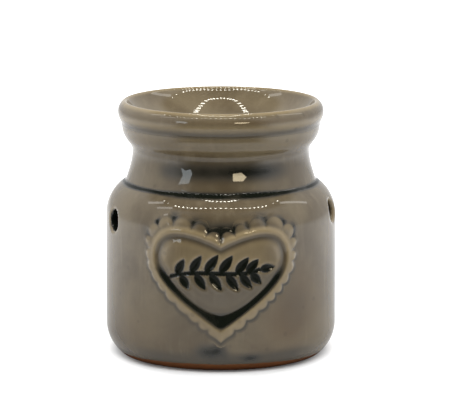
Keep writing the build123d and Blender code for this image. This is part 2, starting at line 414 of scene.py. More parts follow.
def mottle_group():
    """Soft clouds, fine grain and dark specks that fired clay, glaze and wax share."""
    tree, n, i, o = new_group(
        "mottle",
        [
            ("Where", VECTOR, None), ("Cloud Scale", FLOAT, 60.0),
            ("Grain Scale", FLOAT, 900.0), ("Speck Scale", FLOAT, 420.0),
        ],
        [("Cloud", FLOAT), ("Grain", FLOAT), ("Speck", FLOAT)],
    )
    where = i.outputs["Where"]
    n.put(o.inputs["Cloud"], n.noise(where, i.outputs["Cloud Scale"], 4.0, 0.55, 0.4))
    n.put(o.inputs["Grain"], n.noise(where, i.outputs["Grain Scale"], 2.0))
    dots = n.add("ShaderNodeTexVoronoi", {"Vector": where, "Scale": i.outputs["Speck Scale"]})
    pick = n.add("ShaderNodeSeparateColor", {"Color": dots.outputs["Color"]}).outputs[0]
    dot = n.span(dots.outputs["Distance"], 0.34, 0.16)
    n.put(o.inputs["Speck"], n.math("MULTIPLY", dot, n.span(pick, 0.93, 0.96)))
    return tree


def clay_group():
    """Bare fired clay: colour and height of its grain, its colour darkened to paint in the shade at the foot.
    """
    tree, n, i, o = new_group(
        "bare_clay", [("Where", VECTOR, None)], [("Colour", COLOUR), ("Height", FLOAT)]
    )
    mottle = n.mottle(i.outputs["Where"], 90.0, 1500.0, 700.0)
    # These tones are darker than the fired clay's own colour and paint in the shade low at the foot, where the
    # clay shows.
    tone = n.mix(mottle.outputs["Cloud"], (0.078, 0.025, 0.007, 1), (0.142, 0.050, 0.014, 1))
    tone = n.mix(n.math("MULTIPLY", mottle.outputs["Speck"], 0.5), tone, (0.05, 0.028, 0.018, 1))
    n.put(o.inputs["Colour"], tone)
    n.put(o.inputs["Height"], mottle.outputs["Grain"])
    return tree


MOTTLE = mottle_group()
CLAY = clay_group()


GLAZE_BROWN = (0.068, 0.050, 0.028, 1)
GLAZE_OLIVE = (0.118, 0.093, 0.056, 1)
GLAZE_STREAK = (0.158, 0.127, 0.080, 1)
GLAZE_RUST = (0.090, 0.061, 0.031, 1)
GLAZE_TAN = (0.290, 0.222, 0.118, 1)
GLAZE_POOL_AND_SHADE = (0.044, 0.037, 0.026, 1)
GLAZE_BLACK = (0.005, 0.006, 0.004, 1)
GLAZE_SPECK = (0.030, 0.024, 0.016, 1)


def glaze_material():
    """Glossy olive-brown glaze: dark where it pools and where shade is painted in, tan where it thins and where
    a reflection is painted in, over red-brown clay.
    """
    material, n, shader, where = new_material("olive_glaze")
    pool_and_shade, thin_and_sheen, bare, rust = (n.attribute(name) for name in ("pool_and_shade", "thin_and_sheen", "bare", "rust"))
    mottle = n.mottle(where, 45.0, 1100.0, 330.0)
    cloud = mottle.outputs["Cloud"]
    streaks = n.noise(n.stretch(where, (1.0, 1.0, 0.16)), 260.0, 3.0, 0.6)
    blush = n.noise(where, 26.0, 2.0, 0.5, 0.6)
    colour = n.mix(n.span(cloud, 0.28, 0.72), GLAZE_BROWN, GLAZE_OLIVE)
    colour = n.mix(n.span(streaks, 0.5, 0.75, 0.0, 0.30), colour, GLAZE_STREAK)
    stain = n.math("ADD", n.span(blush, 0.56, 0.74, 0.0, 0.4), n.math("MULTIPLY", rust, blush), clamp=True)
    colour = n.mix(stain, colour, GLAZE_RUST)
    # Tan marks thin glaze, and on the lip's cheek and inside the bowl it is also a painted reflection.
    colour = n.mix(n.math("MULTIPLY", thin_and_sheen, 0.9, clamp=True), colour, GLAZE_TAN)
    # The dark mixes mark pooled glaze, and also painted shade under the lip, in creases, joints and vents, and
    # a painted dark reflection on the shoulder.
    drift = n.math("MULTIPLY", n.math("SUBTRACT", cloud, 0.5), pool_and_shade)
    deep = n.math("ADD", pool_and_shade, drift, clamp=True)
    colour = n.mix(n.span(deep, 0.05, 0.60), colour, GLAZE_POOL_AND_SHADE)
    colour = n.mix(n.span(deep, 0.45, 0.95), colour, GLAZE_BLACK)
    colour = n.mix(n.math("MULTIPLY", mottle.outputs["Speck"], 0.22), colour, GLAZE_SPECK)
    clay = n.add("ShaderNodeGroup", {"Where": where}, node_tree=CLAY)
    torn = n.math("MULTIPLY", n.math("SUBTRACT", n.noise(where, 170.0, 3.0), 0.5), 0.7)
    ragged = n.math("ADD", bare, torn)
    naked = n.span(ragged, 0.42, 0.58)
    colour = n.mix(naked, colour, clay.outputs["Colour"])
    n.put(shader.inputs["Base Color"], colour)
    gloss = n.span(mottle.outputs["Grain"], 0.3, 0.7, 0.025, 0.045)
    n.put(shader.inputs["Roughness"], n.math("ADD", gloss, n.math("MULTIPLY", naked, 0.65)))
    n.bump(shader, 0.035, 0.0012, n.noise(where, 60.0, 1.0))
    dull = n.math("MAXIMUM", naked, n.span(deep, 0.75, 1.0, 0.0, 1.1))
    n.put(shader.inputs["Specular IOR Level"], n.math("SUBTRACT", 0.5, n.math("MULTIPLY", dull, 0.38)))
    shader.inputs["IOR"].default_value = 1.5
    return material


# Pieces


def spot(turn, z, centre, spread):
    """Soft patch on the wall round a place given as turn and height."""
    return np.exp(-(((turn - centre[0]) / spread[0]) ** 2) - ((z - centre[1]) / spread[1]) ** 2)


def patches(turn, z, table):
    """Sum of soft patches."""
    return sum(weight * spot(turn, z, place, spread) for weight, place, spread in table)


# Weight, place and spread of each patch, in turn and height
DRIPS = (
    (0.70, (-8.5, 7.6), (5.0, 2.4)), (0.64, (-1.0, 8.0), (4.6, 2.3)),
    (0.45, (15, 4.6), (5, 1.3)), (0.26, (39, 21), (14, 13)),
)
RUST_STAINS = ((1.9, (34, 16), (12, 7)), (1.5, (42, 25), (11, 9)), (0.8, (-50, 13), (16, 6)))
LOBE_RUNS = (
    (0.55, (-23.5, 51.3), (3.2, 1.5)), (0.55, (-12.0, 50.0), (3.6, 1.3)), (0.50, (-7.5, 48.6), (2.6, 1.4)),
    (0.50, (6.5, 48.2), (2.6, 1.3)), (0.40, (20.0, 51.4), (4.5, 1.3)), (0.55, (30.5, 49.6), (2.6, 1.6)),
    (0.60, (38.0, 46.4), (2.6, 2.6)), (0.40, (-32.0, 49.2), (2.2, 1.7)), (0.40, (-40.0, 45.6), (2.2, 2.2)),
)


def lobe_pools(turn, z):
    """Dark glaze caught over the heart: a pool in its notch and runs beside its lobes."""
    notch = 1.3 * spot(turn, z, (0, NOTCH_POOL_Z), (5.8, 2.3))
    return np.clip(notch + patches(turn, z, LOBE_RUNS), 0, 1)


def body_attributes(points, edge):
    """Where the pot's glaze pools, thins, stains and stops, and where shade and a dark reflection are painted
    into it.
    """
    depth = -read_table(FILLED, points)[0]
    x, y, z = points.T
    turn = np.degrees(np.arctan2(x, -y))
    aside, front, outside = np.abs(turn), y < 0, depth < 1.5
    # Crease at the neck's base: pooled glaze, and painted shade in the groove.
    crease = swell(z, NECK_BASE_Z - 0.4, 1.0 - 0.45 * smooth_step(20, 45, aside))
    # Painted shade under the lip's overhang, on the side that faces the front.
    waist = 0.82 * swell(z, WAIST_Z - 3.0, 3.1)
    waist = waist * smooth_step(62, 28, turn) * smooth_step(50, 29, -turn)
    lobes = lobe_pools(turn, z) * front
    # Darker towards the foot, most at the front: painted shade near the floor.
    hem = 0.38 * smooth_step(8.5, 4.5, z) * smooth_step(70, 30, aside) + 0.10 * smooth_step(8.5, 5.0, z)
    # Painted shade in the groove where the dish sits on the mouth.
    seam = 0.40 * swell(z, MOUTH_Z, 1.1)
    drip = patches(turn, z, DRIPS)
    # Painted dark reflection on the front of the shoulder.
    shoulder = 0.22 * spot(turn, z, (0, 50.5), (22, 4)) * front
    pool_and_shade = np.clip(1.25 * crease + waist + seam + drip + lobes + hem + shoulder, 0, 1) * outside
    # Painted shade inside the vents.
    bore = np.where(x < 0, smooth_step(0.15, 0.75, depth), 0.85 * smooth_step(0.9, 2.0, depth))
    bore = bore * smooth_step(6, 4.4, depth) * (np.abs(z - VENTS[0][1] - 0.9) < 5) * (y < 20)
    pool_and_shade = np.maximum(pool_and_shade, 0.95 * bore)
    flare = 0.14 * smooth_step(WAIST_Z + 2, WAIST_Z + 5, z)
    thin_and_sheen = np.clip(edge * 0.42, 0, 1) * (depth < 1.2) + flare
    rust = patches(turn, z, RUST_STAINS) * outside
    # The bare band is drawn lower towards the sides, which paints in the shade there.
    hem_rise = 2.2 * (1 - np.cos(np.radians(turn))) * front
    bare = np.maximum(smooth_step(1.8, 3.6, depth), smooth_step(3.5, 1.6, z + hem_rise))
    return {"pool_and_shade": pool_and_shade, "thin_and_sheen": thin_and_sheen * (z > FLOOR_Z), "bare": bare, "rust": rust}


BODY_STEP = 0.73


def build_body(glaze):
    points, quads = surface_net(pot_field, (-39.2, -39.2, -1.1), (39.4, 39.4, 78.2), BODY_STEP)
    points = settle(pot_field, points, quads, 5)
    edge = pot_field(points)[1]
    obj = new_mesh_object("burner_body_glazed", points, quads, body_attributes(points, edge))
    obj.data.materials.append(glaze)
    return obj


# Heart plaque: a height field over the wall, in arc length and height

HEART_STEP = 0.26
SKIRT = 2.3
BACK_DEPTH = 0.6


def heart_points(half, side_z, lobe_z, notch_z, tip_z, steps=60):
    """Closed outline of a heart, notch to notch."""
    rise = lobe_z - side_z
    lobe = bezier(
        (0, notch_z), (0.40 * half, notch_z + 0.22 * half), (half, side_z + 1.42 * rise), (half, side_z), steps
    )
    flank = bezier(
        (half, side_z), (half, side_z - 0.34 * half), (0.38 * half, tip_z + 0.31 * half), (0, tip_z), steps
    )
    right = np.vstack([lobe, flank[1:]])
    return np.vstack([right, (right * (-1, 1))[-2::-1]])


def outline_distance(spots, loop):
    """Signed distance to a closed outline, negative inside, and the nearest share of its length."""
    start, end = loop[:-1], loop[1:]
    run = end - start
    length2 = np.maximum((run**2).sum(1), 1e-12)
    length = np.sqrt(length2)
    before = np.r_[0, np.cumsum(length)]
    away, share = np.empty(len(spots)), np.empty(len(spots))
    inside = np.empty(len(spots), bool)
    for chunk in np.array_split(np.arange(len(spots)), max(1, len(spots) // 4000)):
        spot = spots[chunk][:, None, :]
        t = np.clip(((spot - start) * run).sum(2) / length2, 0, 1)
        gap = np.sqrt(((start + t[..., None] * run - spot) ** 2).sum(2))
        near = gap.argmin(1)
        rows = np.arange(len(chunk))
        away[chunk] = gap[rows, near]
        share[chunk] = (before[near] + t[rows, near] * length[near]) / before[-1]
        y0, y1 = start[:, 1], end[:, 1]
        level = spot[:, :, 1]
        crosses = (y0 > level) != (y1 > level)
        with np.errstate(divide="ignore", invalid="ignore"):
            at = start[:, 0] + (level - y0) / (y1 - y0) * run[:, 0]
        inside[chunk] = (crosses & (spot[:, :, 0] < at)).sum(1) % 2 == 1
    return np.where(inside, -away, away), share


def blurred(grid, spread):
    """Gaussian blur of a grid, spread in millimetres."""
    reach = int(3 * spread / HEART_STEP) + 1
    taps = np.exp(-0.5 * (np.arange(-reach, reach + 1) * HEART_STEP / spread) ** 2)
    taps /= taps.sum()
    for axis in (0, 1):
        padded = np.pad(grid, [(reach, reach) if a == axis else (0, 0) for a in (0, 1)], mode="edge")
        grid = sum(w * np.take(padded, np.arange(k, k + grid.shape[axis]), axis) for k, w in enumerate(taps))
    return grid


STEM = bezier((-16.2, 31.7), (-6.0, 35.3), (5.0, 31.3), (12.2, 34.1), 40)
LEAVES = (
    (0.06, 62, 5.4), (0.20, 58, 6.2), (0.36, 55, 6.6), (0.52, 55, 6.4), (0.68, 52, 6.0), (0.83, 48, 5.2),
    (0.10, -60, 4.8), (0.26, -58, 5.6), (0.42, -56, 6.0), (0.58, -56, 6.0), (0.74, -52, 5.6), (0.88, -46, 4.8),
    (1.00, 8, 4.8),
)
LEAF_HALF = 1.22


def sprig_field(spots):
    """Rough distance to an incised leaf sprig: negative in its strokes."""
    reach = np.sqrt(((spots[:, None, :] - STEM[None]) ** 2).sum(2)).min(1) - 0.5
    for share, lean, length in LEAVES:
        base = STEM[int(round(share * (len(STEM) - 1)))]
        turn = math.radians(lean)
        out = np.array([math.cos(turn), math.sin(turn)])
        across = np.array([-math.sin(turn), math.cos(turn)])
        u, v = (spots - base) @ out - 0.5, (spots - base) @ across
        share_u = np.clip(u / length, 0, 1)
        half = LEAF_HALF * np.sin(math.pi * share_u**0.8) ** 0.8
        past = np.maximum(np.maximum(-u, u - length), 0)
        beside = np.abs(v) - half
        leaf = np.hypot(np.maximum(beside, -9), past) * np.sign(beside + past + 1e-9)
        reach = np.minimum(reach, leaf)
    return reach


def rounded_max(a, b, blend):
    """Larger of two fields with its corner rounded off."""
    share = np.clip(0.5 + 0.5 * (a - b) / blend, 0, 1)
    return share * a + (1 - share) * b + blend * share * (1 - share)


def ripple(share, count, start):
    """Wave that runs a number of times round the heart's outline."""
    return np.sin(2 * math.pi * (count * share + start))


def heart_relief():
    """Height of the plaque over the wall on a grid, with where its glaze pools and thins and where the frame's
    shadow is painted on the wall.
    """
    across = np.arange(-31, 31 + HEART_STEP, HEART_STEP)
    up = np.arange(5, 55, HEART_STEP)
    s, z = np.meshgrid(across, up, indexing="ij")
    spots = np.c_[s.ravel(), z.ravel()]
    inner = outline_distance(spots, heart_points(*HEART_INNER))[0].reshape(s.shape)
    edge_gap, share = (v.reshape(s.shape) for v in outline_distance(spots, heart_points(*HEART_EDGE)))
    notch = smooth_step(13, 7, np.abs(s)) * smooth_step(38.7, 43.7, z)
    tip = smooth_step(6.5, 2.5, np.hypot(s, z - HEART_EDGE[4]))
    worn = smooth_step(45.2, 47.7, z) * (1 - notch)
    uneven = 0.80 + 0.22 * ripple(share, 1, 0.02) + 0.22 * ripple(share, 9, 0.3)
    depth = SCALLOP_DEPTH * uneven * (1 - 0.15 * notch - 0.35 * worn) * (1 - 0.9 * tip)
    sway = 0.16 * ripple(share, 3, 0.1) + 0.10 * ripple(share, 7, 0.6)
    passed = np.minimum(share, 1 - share)
    crown = smooth_step(0.245, 0.165, passed) * (0.8 + 0.2 * smooth_step(0.02, 0.05, passed))
    count = np.interp(passed, SCALLOP_SHARES, SCALLOP_COUNTS) + sway * (1 - 0.6 * crown)
    bump = np.abs(np.sin(math.pi * count)) ** 0.8
    outer = edge_gap - depth * (bump - 0.62) - CROWN_REACH * crown * (0.35 + 0.65 * bump)
    edge = 1 - (1 - np.clip(-outer / (1.7 + 0.9 * crown), 0, 1)) ** 2.0
    bead = swell(inner, 1.1, 1.0)
    fringe = crown * smooth_step(1.7, 3.2, inner)
    frame_h = edge * (0.94 + 0.22 * bead) * (1 - 0.35 * fringe)
    low = smooth_step(38.7, 30.7, z)
    moat = 0.50 - 0.06 * low
    pad_top = 0.90 - 0.22 * low
    pad_in = rounded_max(inner + 1.1 + 0.5 * low, 20.0 + 0.040 * s**2 - z, 1.6)
    dome = 0.16 * (1 - np.clip(np.hypot(s / 22, (z - 33.7) / 14), 0, 1) ** 2)
    pad_h = moat + (pad_top - moat) * smooth_step(0.7, -2.4, pad_in) + dome
    shore = -0.9 - 1.1 * low - 2.4 * smooth_step(23, 17, z)
    height = pad_h + (frame_h - pad_h) * smooth_step(shore, 0.9, inner)
    stroke = sprig_field(spots).reshape(s.shape)
    height = height - 0.52 * smooth_step(0.50, -0.75, stroke) + 0.05 * swell(stroke, 0.80, 0.42)
    skirt = 0.26 * np.exp(-np.maximum(outer, 0) / 0.45) - 0.02
    height = np.where(outer > 0, skirt, np.maximum(height, 0.24 * (1 - edge) + height * edge))
    height = blurred(height, 0.34)
    near = outer < SKIRT
    groove = np.clip((blurred(height, 1.0) - height) / 0.17, 0, 1)
    strokes = smooth_step(0.60, -0.10, stroke)
    bank = -0.7 - 0.7 * smooth_step(30, 20, z)
    sunk = low * smooth_step(bank, 1.3, pad_in) * smooth_step(1.2, -0.6, inner) * smooth_step(13.8, 15.8, z)
    moat_line = 0.37 * (1 - low) * swell(inner, -0.9, 0.9)
    gaps = smooth_step(0.30, 0.0, bump) * smooth_step(-2.0, -0.5, outer) * (0.10 + 0.5 * notch + 0.3 * worn)
    # Dark halo outside the frame, strongest low down and on the right: pooled glaze at the edge, and a painted
    # shadow of the raised frame.
    side = 0.16 + 0.46 * smooth_step(40.7, 28.7, z) + 0.10 * smooth_step(0, 20, s)
    halo = side * np.exp(-np.maximum(outer, 0) / 1.2) * smooth_step(-0.9, 0.3, outer)
    vee = lobe_pools(np.degrees(s / BODY_R), z)
    between = crown * smooth_step(0.75, 0.15, bump)
    between = between * smooth_step(-1.6, 0.3, outer) * smooth_step(3.6, 1.6, edge_gap)
    halo = halo + vee * smooth_step(-0.6, 0.1, outer) + 0.55 * between
    pad_pool = 0.32 * low * smooth_step(-1.0, -2.5, inner)
    pool_and_shade = np.maximum.reduce([groove * 0.40, sunk, gaps, strokes, moat_line, pad_pool]) * (outer < 0)
    fade = np.maximum.reduce([smooth_step(2.0, 0.8, outer), vee, between])
    pool_and_shade = np.clip(np.maximum(pool_and_shade, halo), 0, 1) * fade
    shade = fringe * (0.35 + 0.65 * smooth_step(-14, -5, s) * smooth_step(20, 15, s))
    pool_and_shade = np.clip(pool_and_shade + 0.25 * shade * (outer < 0), 0, 1)
    rise = np.clip((height - blurred(height, 0.9)) / 0.14, 0, 1) * (1 - 0.7 * shade)
    band = smooth_step(-0.2, 0.9, inner) * smooth_step(0.2, -0.7, outer)
    pad_face = (0.22 - 0.20 * low) * smooth_step(-1.0, -2.5, inner) * (1 - strokes)
    rim = (0.18 + (0.13 - 0.07 * low) * (s > 0)) * (1 - 0.9 * shade) + 0.11 * (crown - fringe)
    thin_and_sheen = np.clip(rim * band + 0.26 * rise + pad_face, 0, 0.75) * (1 - 0.5 * groove)
    return s, z, height, near, pool_and_shade, thin_and_sheen


def wall_frame(z):
    """Radius of the belly at a height, and the slope of its outward normal."""
    radius = tangent_radius(BODY_R - NECK_BASE_R, NECK_BASE_Z - SHOULDER_Z)
    rise = np.maximum(z - SHOULDER_Z, 0) / radius
    bottom = tangent_radius(BODY_R - FOOT_R, FOOT_ROUND_Z)
    drop = np.minimum(z - FOOT_ROUND_Z, 0) / bottom
    out = BODY_R - radius * (1 - np.sqrt(1 - rise**2)) - bottom * (1 - np.sqrt(1 - drop**2))
    return out, np.arcsin(rise) + np.arcsin(drop)


def on_wall(s, z, height):
    """Points standing off the belly by a height, from arc length and level."""
    radius, slope = wall_frame(z)
    turn = s / BODY_R
    out = radius + height * np.cos(slope)
    return np.stack([out * np.sin(turn), -out * np.cos(turn), z + height * np.sin(slope)], -1)


def build_heart(glaze):
    """Closed plaque: its modelled face, a hidden back in the wall, and the strip between them."""
    s, z, height, near, pool_and_shade, thin_and_sheen = heart_relief()
    index = -np.ones(near.shape, int)
    index[near] = np.arange(near.sum())
    count = int(near.sum())
    face = np.stack([index[:-1, :-1], index[1:, :-1], index[1:, 1:], index[:-1, 1:]], -1).reshape(-1, 4)
    face = face[(face >= 0).all(1)]
    used = np.unique(face)
    renumber = -np.ones(count, int)
    renumber[used] = np.arange(len(used))
    face = renumber[face]
    front = on_wall(s[near][used], z[near][used], height[near][used])
    back = on_wall(s[near][used], z[near][used], np.full(len(used), -BACK_DEPTH))
    rim = np.vstack([face[:, [i, (i + 1) % 4]] for i in range(4)])
    key = np.sort(rim, 1)
    _, first, times = np.unique(key, axis=0, return_index=True, return_counts=True)
    rim = rim[first[times == 1]]
    size = len(used)
    strip = np.c_[rim[:, 1], rim[:, 0], rim[:, 0] + size, rim[:, 1] + size]
    none = np.zeros(size)
    values = {"pool_and_shade": pool_and_shade[near][used], "thin_and_sheen": thin_and_sheen[near][used], "bare": none, "rust": none}
    values = {label: np.r_[value, none] for label, value in values.items()}
    faces = np.vstack([face, face[:, ::-1] + size, strip])
    obj = new_mesh_object("heart_sprig_glazed", np.vstack([front, back]), faces, values)
    obj.data.materials.append(glaze)
    return obj


# Turned pieces, made by one Geometry Nodes tree


def finish_piece(n, made, i, o):
    """Last nodes of a tree: smooth shading, plain geometry and the finish."""
    smooth = n.add("GeometryNodeSetShadeSmooth", {"Geometry": made.outputs[0], "Shade Smooth": True})
    solid = n.add("GeometryNodeRealizeInstances", {"Geometry": smooth.outputs[0]})
    finished = n.add("GeometryNodeSetMaterial", {"Geometry": solid.outputs[0], "Material": i["Finish"]})
    n.put(o.inputs["Piece"], finished.outputs[0])


def turned_tree():
    """Turns a drawn half section round the upright axis, with optional flutes and a hand's wobble."""
    sizes = [
        ("Section", GEOMETRY, None), ("Section Points", WHOLE, 300), ("Turn Steps", WHOLE, 180),
        ("Flutes", FLOAT, 0.0), ("Flute Depth", FLOAT, 0.0), ("Flute Foot", FLOAT, 0.0),
        ("Flute Head", FLOAT, 1.0), ("Wobble", FLOAT, 0.0), ("Finish", FINISH, None),
    ]
    tree, n, entry, o = new_group("turned_on_the_wheel", sizes, [("Piece", GEOMETRY)], "GeometryNodeTree")
    i = entry.outputs
    sheet = n.add(
        "GeometryNodeMeshGrid",
        {"Vertices X": i["Section Points"], "Vertices Y": n.math("ADD", i["Turn Steps"], 1.0)},
    )
    spot = n.add("ShaderNodeSeparateXYZ", {0: n.add("GeometryNodeInputPosition").outputs[0]}).outputs
    turn = n.math("MULTIPLY", n.math("ADD", spot[1], 0.5), 2 * math.pi)
    line = n.add("GeometryNodeSampleCurve", mode="FACTOR", use_all_curves=True)
    n.put(line.inputs["Curves"], i["Section"])
    n.put(line.inputs["Factor"], n.math("ADD", spot[0], 0.5))
    at = n.add("ShaderNodeSeparateXYZ", {0: line.outputs["Position"]}).outputs
    sine, cosine = n.math("SINE", turn), n.math("COSINE", turn)
    above = n.span(at[2], i["Flute Foot"], n.math("ADD", i["Flute Foot"], 0.001))
    below = n.span(at[2], i["Flute Head"], n.math("SUBTRACT", i["Flute Head"], 0.001))
    fluted = n.math("MULTIPLY", above, below)
    ridge = n.math("COSINE", n.math("MULTIPLY", turn, i["Flutes"]))
    radius = n.math("ADD", at[0], n.math("MULTIPLY", n.math("MULTIPLY", ridge, fluted), i["Flute Depth"]))
    ring = n.add("ShaderNodeCombineXYZ", {0: sine, 1: cosine, 2: n.math("MULTIPLY", at[2], 30.0)}).outputs[0]
    sway = n.math("SUBTRACT", n.noise(ring, 1.3, 1.0), 0.5)
    taper = n.math("MINIMUM", n.math("MULTIPLY", at[0], 60.0), 1.0)
    radius = n.math("ADD", radius, n.math("MULTIPLY", n.math("MULTIPLY", sway, taper), i["Wobble"]))
    x = n.math("MULTIPLY", radius, sine)
    y = n.math("MULTIPLY", radius, n.math("MULTIPLY", cosine, -1.0))
    place = n.add("ShaderNodeCombineXYZ", {0: x, 1: y, 2: at[2]}).outputs[0]
    turned = n.add("GeometryNodeSetPosition", {"Geometry": sheet.outputs["Mesh"], "Position": place})
    closed = n.add("GeometryNodeMergeByDistance", {"Geometry": turned.outputs[0], "Distance": 2e-6})
    finish_piece(n, closed, i, o)
    return tree


def curve_object(name, lines):
    """Poly curve object through lines of metre points."""
    data = bpy.data.curves.new(name, "CURVE")
    data.dimensions = "3D"
    for line in lines:
        spline = data.splines.new("POLY")
        spline.points.add(len(line) - 1)
        spline.points.foreach_set("co", np.c_[line, np.ones(len(line))].ravel())
    return link_object(name, data)


def made_by_tree(name, source, tree, **sizes):
    """Plain mesh object of a tree's result on a source object, which is then removed."""
    modifier = source.modifiers.new(tree.name, "NODES")
    modifier.node_group = tree
    named = {item.name: item.identifier for item in tree.interface.items_tree if item.item_type == "SOCKET"}
    for label, value in sizes.items():
        modifier[named[label.replace("_", " ")]] = value
    depsgraph = bpy.context.evaluated_depsgraph_get()
    mesh = bpy.data.meshes.new_from_object(source.evaluated_get(depsgraph), depsgraph=depsgraph)
    mesh.name = name
    bpy.data.objects.remove(source)
    return link_object(name, mesh)


TURNED = turned_tree()


def turned_piece(name, section, finish, points=300, steps=180, **sizes):
    """Piece turned from a millimetre half section, running up the outside and back down the inside."""
    line = np.c_[section[:, 0], np.zeros(len(section)), section[:, 1]] * MM
    source = curve_object(name + "_section", [line])
    return made_by_tree(name, source, TURNED, Section_Points=points, Turn_Steps=steps, Finish=finish, **sizes)


def rounded_corner(before, after, radius, steps=8):
    """Two lines of a section that end and start in one corner, joined by a soft curve."""
    def trimmed(line):
        reach = np.r_[0, np.cumsum(np.hypot(*np.diff(line, axis=0).T))]
        keep = line[reach < reach[-1] - radius]
        at = reach[-1] - radius
        end = np.array([np.interp(at, reach, line[:, 0]), np.interp(at, reach, line[:, 1])])
        return np.vstack([keep, end])

    first, second = trimmed(before), trimmed(after[::-1])[::-1]
    corner = before[-1]
    start, end = first[-1], second[0]
    bend = bezier(start, start + 0.6 * (corner - start), end + 0.6 * (corner - end), end, steps)
    return np.vstack([first, bend[1:-1], second])


def dish_section():
    """Half section of the oil dish: underside, seat, rolled lip, bowl."""
    bore = MOUTH_R - WALL - 0.3
    under_z = BOWL_Z - DISH_T
    under_r = tangent_radius(MOUTH_Z - under_z, bore - BOWL_FLAT_R)
    under_turn = math.degrees(math.asin((bore - BOWL_FLAT_R) / under_r))
    underside = arc((BOWL_FLAT_R, under_z + under_r), under_r, -90, -90 + under_turn, 50)
    cheek_r = tangent_radius(LIP_R - MOUTH_R, LIP_Z - MOUTH_Z)
    cheek_turn = math.degrees(math.asin((LIP_Z - MOUTH_Z) / cheek_r))
    cheek = arc((LIP_R - cheek_r, LIP_Z), cheek_r, -cheek_turn, 0, 30)
    roll_r = tangent_radius(LIP_R - CREST_R, CREST_Z - LIP_Z)
    roll_turn = math.degrees(math.asin((CREST_Z - LIP_Z) / roll_r))
    roll = arc((LIP_R - roll_r, LIP_Z), roll_r, 0, roll_turn, 30)[1:]
    bowl_r = tangent_radius(CREST_Z - BOWL_Z, CREST_R - BOWL_FLAT_R)
    bowl_turn = math.degrees(math.acos(1 - (CREST_Z - BOWL_Z) / bowl_r))
    bowl = arc((BOWL_FLAT_R, BOWL_Z + bowl_r), bowl_r, -90 + bowl_turn, -90, 70)
    lean = cheek[cheek[:, 1] > MOUTH_Z + LAP_RISE]
    hem = np.array([MOUTH_R + LAP_PROUD, MOUTH_Z - LAP_DROP])
    tangent = (lean[1] - lean[0]) / np.hypot(*(lean[1] - lean[0]))
    lift = LAP_DROP + LAP_RISE
    lap = bezier(hem, hem + (0, 0.5 * lift), lean[0] - 0.45 * lift * tangent, lean[0], 16)
    seat = np.array([underside[-1], (MOUTH_R - 1.2, MOUTH_Z), (MOUTH_R - 0.4, MOUTH_Z - LAP_DROP)])
    outside = np.vstack([lap, lean[1:], roll])
    top = rounded_corner(outside, np.vstack([bowl, [(0, BOWL_Z)]]), CREST_ROUND)
    return np.vstack([[(0, under_z)], underside, seat[1:], top])


def build_dish(glaze):
    obj = turned_piece("oil_dish_glazed", dish_section(), glaze, 440, 220, Wobble=0.0001)
    mesh = obj.data
    points = np.empty(len(mesh.vertices) * 3)
    mesh.vertices.foreach_get("co", points)
    x, y, z = points.reshape(-1, 3).T / MM
    radius, turn = np.hypot(x, y), np.degrees(np.arctan2(x, -y))
    outside = radius > CREST_R
    # Painted shade in the groove where the dish's lap meets the pot.
    seam = 0.40 * swell(z, MOUTH_Z, 1.1) * outside
    crest = 0.45 * swell(z, CREST_Z - 0.5, 0.7)
    # Lighter band on the lip's cheek: thin glaze, and a painted reflection of the floor.
    cheek = swell(z, MOUTH_Z + 2.3, 1.1) * outside
    patchy = 0.8 + 0.4 * np.sin(np.radians(3 * turn + 40))
    gold = 0.75 * swell(z, LIP_Z + 0.7, 0.9) * outside * patchy
    # Darker towards the bowl's floor: partly pooled glaze, and partly a painted reflection of the dark front.
    well = 0.26 * smooth_step(BOWL_FLAT_R + 9, BOWL_FLAT_R, radius) * (z > BOWL_Z - 1)
    under = (radius < MOUTH_R - WALL) & (z < BOWL_Z - 0.5 + 0.02 * np.maximum(radius - BOWL_FLAT_R, 0) ** 2)
    # Lighter near the bowl's rim: a painted reflection of the bright sides.
    wall = 0.09 * smooth_step(24, 29, radius) * (radius < CREST_R)
    thin_and_sheen = np.maximum.reduce([crest, 0.42 * cheek, wall])
    values = {"pool_and_shade": seam + well, "thin_and_sheen": thin_and_sheen, "bare": under.astype(float), "rust": np.maximum(gold, 0)}
    add_attributes(mesh, values)
    return obj


def dress(obj, body, node):
    """Seat a finished piece in the frame in place of its CAD node."""
    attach(obj, body)
    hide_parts(node)


def metal_material(name, tone, roughness, grain):
    """Thin rolled metal: soft sheen broken by clouds and fine grain."""
    material, n, shader, where = new_material(name)
    mottle = n.mottle(where, 140.0, 2200.0)
    dull = tuple(0.82 * value for value in tone)
    n.put(shader.inputs["Base Color"], n.mix(mottle.outputs["Cloud"], (*tone, 1), (*dull, 1)))
    n.put(shader.inputs["Roughness"], n.span(mottle.outputs["Cloud"], 0.3, 0.7, roughness, roughness + 0.14))
    n.bump(shader, grain, 0.0002, mottle.outputs["Grain"])
    shader.inputs["Metallic"].default_value = 1.0
    return material


def wax_material():
    """White paraffin with a faint bloom."""
    material, n, shader, where = new_material("white_paraffin")
    cloud = n.mottle(where, 180.0).outputs["Cloud"]
    n.put(shader.inputs["Base Color"], n.mix(cloud, (0.84, 0.82, 0.76, 1), (0.78, 0.75, 0.68, 1)))
    n.put(shader.inputs["Roughness"], n.span(cloud, 0.3, 0.7, 0.34, 0.50))
    n.bump(shader, 0.12, 0.0004, cloud)
    shader.inputs["Subsurface Weight"].default_value = 0.25
    shader.inputs["Subsurface Radius"].default_value = (0.004, 0.003, 0.002)
    return material


def cotton_material():
    """Waxed cotton yarn: fine fibres over an off-white ground."""
    material, n, shader, where = new_material("waxed_cotton")
    fibres = n.noise(n.stretch(where, (1.0, 1.0, 0.35)), 5200.0, 3.0, 0.6)
    n.put(shader.inputs["Base Color"], n.mix(fibres, (0.62, 0.57, 0.46, 1), (0.86, 0.83, 0.74, 1)))
    n.bump(shader, 0.5, 0.00015, fibres)
    shader.inputs["Roughness"].default_value = 0.85
    return material


